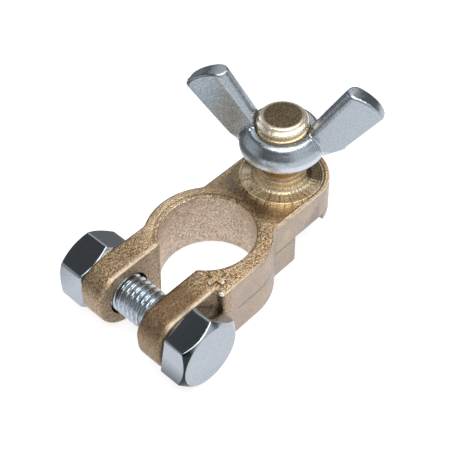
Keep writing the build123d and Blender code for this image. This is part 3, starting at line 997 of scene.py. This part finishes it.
class CLAMP_OT_wing_nut(bpy.types.Operator):
    """Soften the forged wing nut and raise its seam and burrs"""

    bl_idname = "clamp.wing_nut"
    bl_label = "Wing Nut"

    # each pair is a distance from the stud's axis and a height
    hub_foot_mm = 20.75
    hub_crown_mm = 25.72
    hub_outside_mm = (
        (7.4, 20.75), (7.85, 21.05), (8.12, 21.6), (8.17, 22.3), (8.05, 23.1),
        (7.82, 23.8), (7.4, 24.45), (6.95, 25.0), (6.45, 25.4), (5.9, 25.65),
    )
    near_web_mm = ((6.0, 20.8), (7.6, 20.8), (12.1, 24.0), (12.1, 25.5), (6.0, 25.0))
    far_web_mm = ((6.0, 20.8), (8.2, 20.8), (12.0, 25.5), (6.0, 25.0))
    web_half_thickness = 1.15 * MM
    # the far wing's lower edge runs straight from the hub's foot to its tip
    far_edge_foot_mm = (8.19, 20.74)
    far_edge_rise = 1.195
    far_edge_from = 8.6 * MM
    # the wings' roots are blended most at the hub's rim
    root_reach = 8.2 * MM
    root_spread = 1.7 * MM
    # flash left by the forging dies where the wings' inner edges meet the hub
    burrs_mm = (
        ((1.1, -5.5, 26.2), (0.9, -6.4, 25.6), (0.9, -7.2, 24.7), (0.7, -7.8, 23.7)),
        ((-2.7, 4.5, 26.7), (-4.1, 4.1, 26.4), (-5.0, 3.9, 25.4), (-6.1, 3.8, 24.4)),
    )
    burr_extent = 4.0 * MM
    # the lower rim is painted paler, a painted reflection of the floor
    pale_below = 22.4 * MM

    def execute(self, context):
        wing = context.scene.clamp_wing_settings
        finish = context.scene.clamp_finish_settings
        piece = bpy.data.objects.new("forged_wing_nut", self.sharp_mesh(wing))
        bpy.context.scene.collection.objects.link(piece)
        remesh = piece.modifiers.new("surface", "REMESH")
        remesh.mode = "VOXEL"
        remesh.voxel_size = wing.surface_step
        self.apply(piece)
        along = Vector((math.cos(wing.wing_turn), math.sin(wing.wing_turn), 0))
        across = Vector((-along.y, along.x, 0))
        self.straighten_far_edge(piece.data, along)
        self.soften(piece, wing.root_blend)
        self.raise_seam(piece.data, along, across, wing.seam_height)
        for burr_mm in self.burrs_mm:
            self.raise_burr(piece.data, burr_mm, wing)
        for polygon in piece.data.polygons:
            polygon.use_smooth = True
        plate = zinc_plate(
            "zinc_wing_nut", finish, roughness=0.2, skin=0.45, pale_below=self.pale_below
        )
        piece.data.materials.append(plate)
        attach(piece, "wing_nut")
        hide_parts("wing_nut")
        return {"FINISHED"}

    def sharp_mesh(self, wing):
        """The wing nut's solid form with a fuller hub and a web below each wing's root."""
        mesh = frame["nodes"]["wing_nut"].data.copy()
        mesh.name = "forged_wing_nut"
        mesh.materials.clear()
        build = bmesh.new()
        build.from_mesh(mesh)
        first_new = len(build.verts)
        skin_rings(build, self.hub_rings(wing), closed=True)
        self.web(build, wing.wing_turn, self.near_web_mm)
        self.web(build, wing.wing_turn + math.pi, self.far_web_mm)
        build.verts.ensure_lookup_table()
        for vertex in build.verts[first_new:]:
            vertex.co += stud_foot
        bmesh.ops.recalc_face_normals(build, faces=build.faces)
        build.to_mesh(mesh)
        build.free()
        return mesh

    def hub_rings(self, wing):
        """The hub's outside: domed crown, steep side and rounded foot."""
        inside_mm = wing.bore_clear / MM
        foot = (inside_mm, self.hub_foot_mm)
        crown = (inside_mm, self.hub_crown_mm)
        turns = full_turn(180)
        profile = (foot, *self.hub_outside_mm, crown)
        return [circle(reach * MM, level * MM, turns) for reach, level in profile]

    def web(self, build, turn, outline_mm):
        """A thin web below one wing's root."""
        along = Vector((math.cos(turn), math.sin(turn), 0))
        across = Vector((-along.y, along.x, 0)) * self.web_half_thickness
        sides = []
        for side in (-1, 1):
            edge = []
            for reach, level in outline_mm:
                point = along * reach * MM + across * side + Vector((0, 0, level * MM))
                edge.append(build.verts.new(point))
            sides.append(edge)
        build.faces.new(sides[0])
        build.faces.new(sides[1][::-1])
        for i in range(len(outline_mm)):
            j = (i + 1) % len(outline_mm)
            build.faces.new((sides[0][j], sides[0][i], sides[1][i], sides[1][j]))

    def straighten_far_edge(self, mesh, along):
        foot_reach, foot_height = (value * MM for value in self.far_edge_foot_mm)
        for vertex in mesh.vertices:
            reach = -(vertex.co - stud_axis).dot(along)
            if reach > self.far_edge_from:
                edge_height = foot_height + self.far_edge_rise * (reach - foot_reach)
                vertex.co.z = max(vertex.co.z, edge_height)

    def soften(self, piece, root_blend):
        """Smooths the whole skin a little, and runs the wings' roots into the hub."""
        group = piece.vertex_groups.new(name="roots")
        for vertex in piece.data.vertices:
            offset = vertex.co - stud_axis
            reach = math.hypot(offset.x, offset.y)
            near = max(0.0, 1.0 - abs(reach - self.root_reach) / self.root_spread)
            group.add([vertex.index], near, "REPLACE")
        skin = piece.modifiers.new("skin", "SMOOTH")
        skin.factor = 0.5
        skin.iterations = 2
        roots = piece.modifiers.new("roots", "SMOOTH")
        roots.factor = 0.5
        roots.iterations = root_blend
        roots.vertex_group = "roots"
        self.apply(piece)

    def apply(self, piece):
        """Replaces the piece's mesh by the result of its modifiers."""
        bpy.context.view_layer.update()
        worked = piece.evaluated_get(bpy.context.evaluated_depsgraph_get())
        result = bpy.data.meshes.new_from_object(worked)
        piece.modifiers.clear()
        piece.data = result

    def raise_seam(self, mesh, along, across, height):
        """Raises the seam along each wing's inner edge, from the wing's root outwards."""
        half_width = 0.16 * MM
        seam_start = 6.6 * MM
        seam_rise = 1.2 * MM
        normals = [vertex.normal.copy() for vertex in mesh.vertices]
        for vertex, normal in zip(mesh.vertices, normals):
            offset = vertex.co - stud_axis
            reach = offset.dot(along)
            side = offset.dot(across) / half_width
            outward = min(max((abs(reach) - seam_start) / seam_rise, 0.0), 1.0)
            inward = -normal.dot(along) * math.copysign(1.0, reach)
            edge_on = min(max(3.0 * inward - 1.2, 0.0), 1.0)
            vertex.co += normal * height * outward * edge_on * math.exp(-side * side)

    def raise_burr(self, mesh, burr_mm, wing):
        """Raises a fine ridge along a line of points."""
        points = [Vector(point_mm) * MM + stud_foot for point_mm in burr_mm]
        normals = [vertex.normal.copy() for vertex in mesh.vertices]
        for vertex, normal in zip(mesh.vertices, normals):
            if (vertex.co - points[1]).length > self.burr_extent:
                continue
            away = []
            for first, last in zip(points, points[1:]):
                _, share = intersect_point_line(vertex.co, first, last)
                share = min(max(share, 0.0), 1.0)
                away.append((vertex.co - first.lerp(last, share)).length)
            lift = math.exp(-((min(away) / wing.burr_width) ** 2))
            vertex.co += normal * wing.burr_height * lift


class CLAMP_OT_stage(bpy.types.Operator):
    """Set up the floor, the room, the overhead light and the camera"""

    bl_idname = "clamp.stage"
    bl_label = "Stage"

    def execute(self, context):
        stage = context.scene.clamp_stage_settings
        low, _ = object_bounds()
        self.floor(low[2])
        self.room(context.scene, stage)
        self.overhead_light(context.scene, stage)
        self.camera(context.scene, stage)
        context.scene.view_settings.view_transform = "Standard"
        return {"FINISHED"}

    def floor(self, level):
        bpy.ops.mesh.primitive_plane_add(size=3.0, location=(0, 0, level))
        floor = bpy.context.object
        floor.name = "floor"
        shader = Shader("floor_white")
        path = shader.node("ShaderNodeLightPath").outputs
        # what the plated faces pick up from the floor falls off behind the clamp
        near = shader.spread(shader.parts(shader.place())["Y"], 20.0 * MM, 34.0 * MM, 1.0, 0.0)
        # the white seen through the bore is kept up where the ring's wall shades it
        _, reach, _ = shader.round_axis(Vector((0, 0, 0)))
        glow = shader.spread(reach, 8.0 * MM, 11.0 * MM, 0.95, 0.78)
        lit = shader.math("ADD", glow, shader.spread(near, 0.0, 1.0, 0.3, 0.0))
        direct = shader.most(path["Is Camera Ray"], path["Is Transmission Ray"])
        picked_up = shader.times(shader.spread(near, 0.0, 1.0, 0.2, 0.72), glow)
        mirrored = shader.times(path["Is Glossy Ray"], picked_up)
        strength = shader.math("ADD", shader.times(direct, lit), mirrored)
        matt_colour = shader.blend(near, (0.05, 0.05, 0.055), (0.5, 0.49, 0.52))
        matt = shader.node("ShaderNodeBsdfDiffuse", {"Color": matt_colour})
        light = shader.node("ShaderNodeEmission", {"Color": (1.0, 1.0, 1.0, 1.0), "Strength": strength})
        both = shader.node("ShaderNodeAddShader", {0: matt.outputs[0], 1: light.outputs[0]})
        surface = shader.tree.nodes["Material Output"].inputs["Surface"]
        shader.tree.links.new(both.outputs[0], surface)
        floor.data.materials.append(shader.material)
        floor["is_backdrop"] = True

    def room(self, scene, stage):
        """A grey room that darkens upwards, with pale cards on its walls for the plate to mirror."""
        scene.world = bpy.data.worlds.new("soft_room")
        nodes = Nodes(scene.world)
        direction = nodes.node("ShaderNodeTexCoord").outputs["Generated"]
        darkening = ((0.0, 0.8), (0.04, 0.3), (0.16, 0.13), (1.0, 0.07))
        shade = self.ramp(nodes, nodes.parts(direction)["Z"], darkening)
        # behind the clamp, before the bolt head, and two on the left: direction, edge, middle, level
        cards = (
            ((0.53, 0.47, 0.71), 0.86, 0.95, stage.room_glow),
            ((0.1, -0.93, 0.3), 0.78, 0.93, 0.7),
            ((-0.55, -0.5, 0.66), 0.8, 0.97, 0.17),
            ((-0.65, 0.72, 0.22), 0.84, 0.96, 0.4),
        )
        for towards, edge, middle, level in cards:
            inputs = {0: direction, 1: Vector(towards).normalized()}
            near = nodes.node("ShaderNodeVectorMath", inputs, operation="DOT_PRODUCT").outputs["Value"]
            card = self.ramp(nodes, near, ((edge, 0.0), (middle, level)))
            shade = nodes.blend(1.0, shade, card, "ADD")
        # the camera itself sees plain white
        path = nodes.node("ShaderNodeLightPath").outputs
        shade = nodes.blend(path["Is Camera Ray"], shade, (1.0, 1.0, 1.0))
        nodes.give(nodes.tree.nodes["Background"].inputs["Color"], shade)

    def ramp(self, nodes, value, stops):
        """A slightly blue grey ramp over a value, from pairs of position and level."""
        ramp = nodes.node("ShaderNodeValToRGB", {"Fac": value})
        while len(ramp.color_ramp.elements) < len(stops):
            ramp.color_ramp.elements.new(0.5)
        for element, (position, level) in zip(ramp.color_ramp.elements, stops):
            element.position = position
            element.color = (level, level, level * 1.03, 1.0)
        return ramp.outputs["Color"]

    def overhead_light(self, scene, stage):
        light = bpy.data.lights.new("overhead_light", "AREA")
        light.shape = "RECTANGLE"
        light.size = 0.72
        light.size_y = 0.5
        light.energy = stage.overhead_power
        lamp = bpy.data.objects.new("overhead_light", light)
        lamp.location = (0.04, -0.13, 0.5)
        scene.collection.objects.link(lamp)

    def camera(self, scene, stage):
        axes = (
            Matrix.Rotation(stage.azimuth, 4, "Z")
            @ Matrix.Rotation(math.pi / 2 - stage.elevation, 4, "X")
            @ Matrix.Rotation(stage.roll, 4, "Z")
        )
        place = Vector(stage.target) + axes @ Vector((0, 0, stage.distance))
        lens = bpy.data.cameras.new("camera")
        lens.sensor_fit = "HORIZONTAL"
        lens.sensor_width = 36.0
        lens.lens = lens.sensor_width / 2 / math.tan(stage.field_of_view / 2)
        lens.clip_start = 0.01
        lens.clip_end = 20.0
        camera = bpy.data.objects.new("camera", lens)
        camera.matrix_world = Matrix.Translation(place) @ axes
        scene.collection.objects.link(camera)
        scene.camera = camera


class CLAMP_PT_panel(bpy.types.Panel):
    """Lists the pieces of the clamp and their sizes"""

    bl_idname = "CLAMP_PT_panel"
    bl_label = "Terminal Clamp"
    bl_space_type = "VIEW_3D"
    bl_region_type = "UI"
    bl_category = "Terminal Clamp"

    def draw(self, context):
        for operator in OPERATORS:
            self.layout.operator(operator.bl_idname)
        for attribute, group in SETTINGS.items():
            box = self.layout.box()
            for name in group.__annotations__:
                box.prop(getattr(context.scene, attribute), name)


SETTINGS = {
    "clamp_body_settings": ClampBodySettings,
    "clamp_stud_settings": StudSettings,
    "clamp_bolt_settings": BoltSettings,
    "clamp_wing_settings": WingNutSettings,
    "clamp_finish_settings": FinishSettings,
    "clamp_stage_settings": StageSettings,
}
OPERATORS = (
    CLAMP_OT_body,
    CLAMP_OT_stud,
    CLAMP_OT_bolt,
    CLAMP_OT_nut,
    CLAMP_OT_wing_nut,
    CLAMP_OT_stage,
)


def register():
    for group in SETTINGS.values():
        bpy.utils.register_class(group)
    for attribute, group in SETTINGS.items():
        setattr(bpy.types.Scene, attribute, bpy.props.PointerProperty(type=group))
    for operator in OPERATORS:
        bpy.utils.register_class(operator)
    bpy.utils.register_class(CLAMP_PT_panel)


def unregister():
    bpy.utils.unregister_class(CLAMP_PT_panel)
    for operator in reversed(OPERATORS):
        bpy.utils.unregister_class(operator)
    for attribute, group in reversed(SETTINGS.items()):
        delattr(bpy.types.Scene, attribute)
        bpy.utils.unregister_class(group)


def main():
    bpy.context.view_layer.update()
    register()
    bpy.ops.clamp.body()
    bpy.ops.clamp.stud()
    bpy.ops.clamp.bolt()
    bpy.ops.clamp.nut()
    bpy.ops.clamp.wing_nut()
    bpy.ops.clamp.stage()


if __name__ == "__main__":
    main()
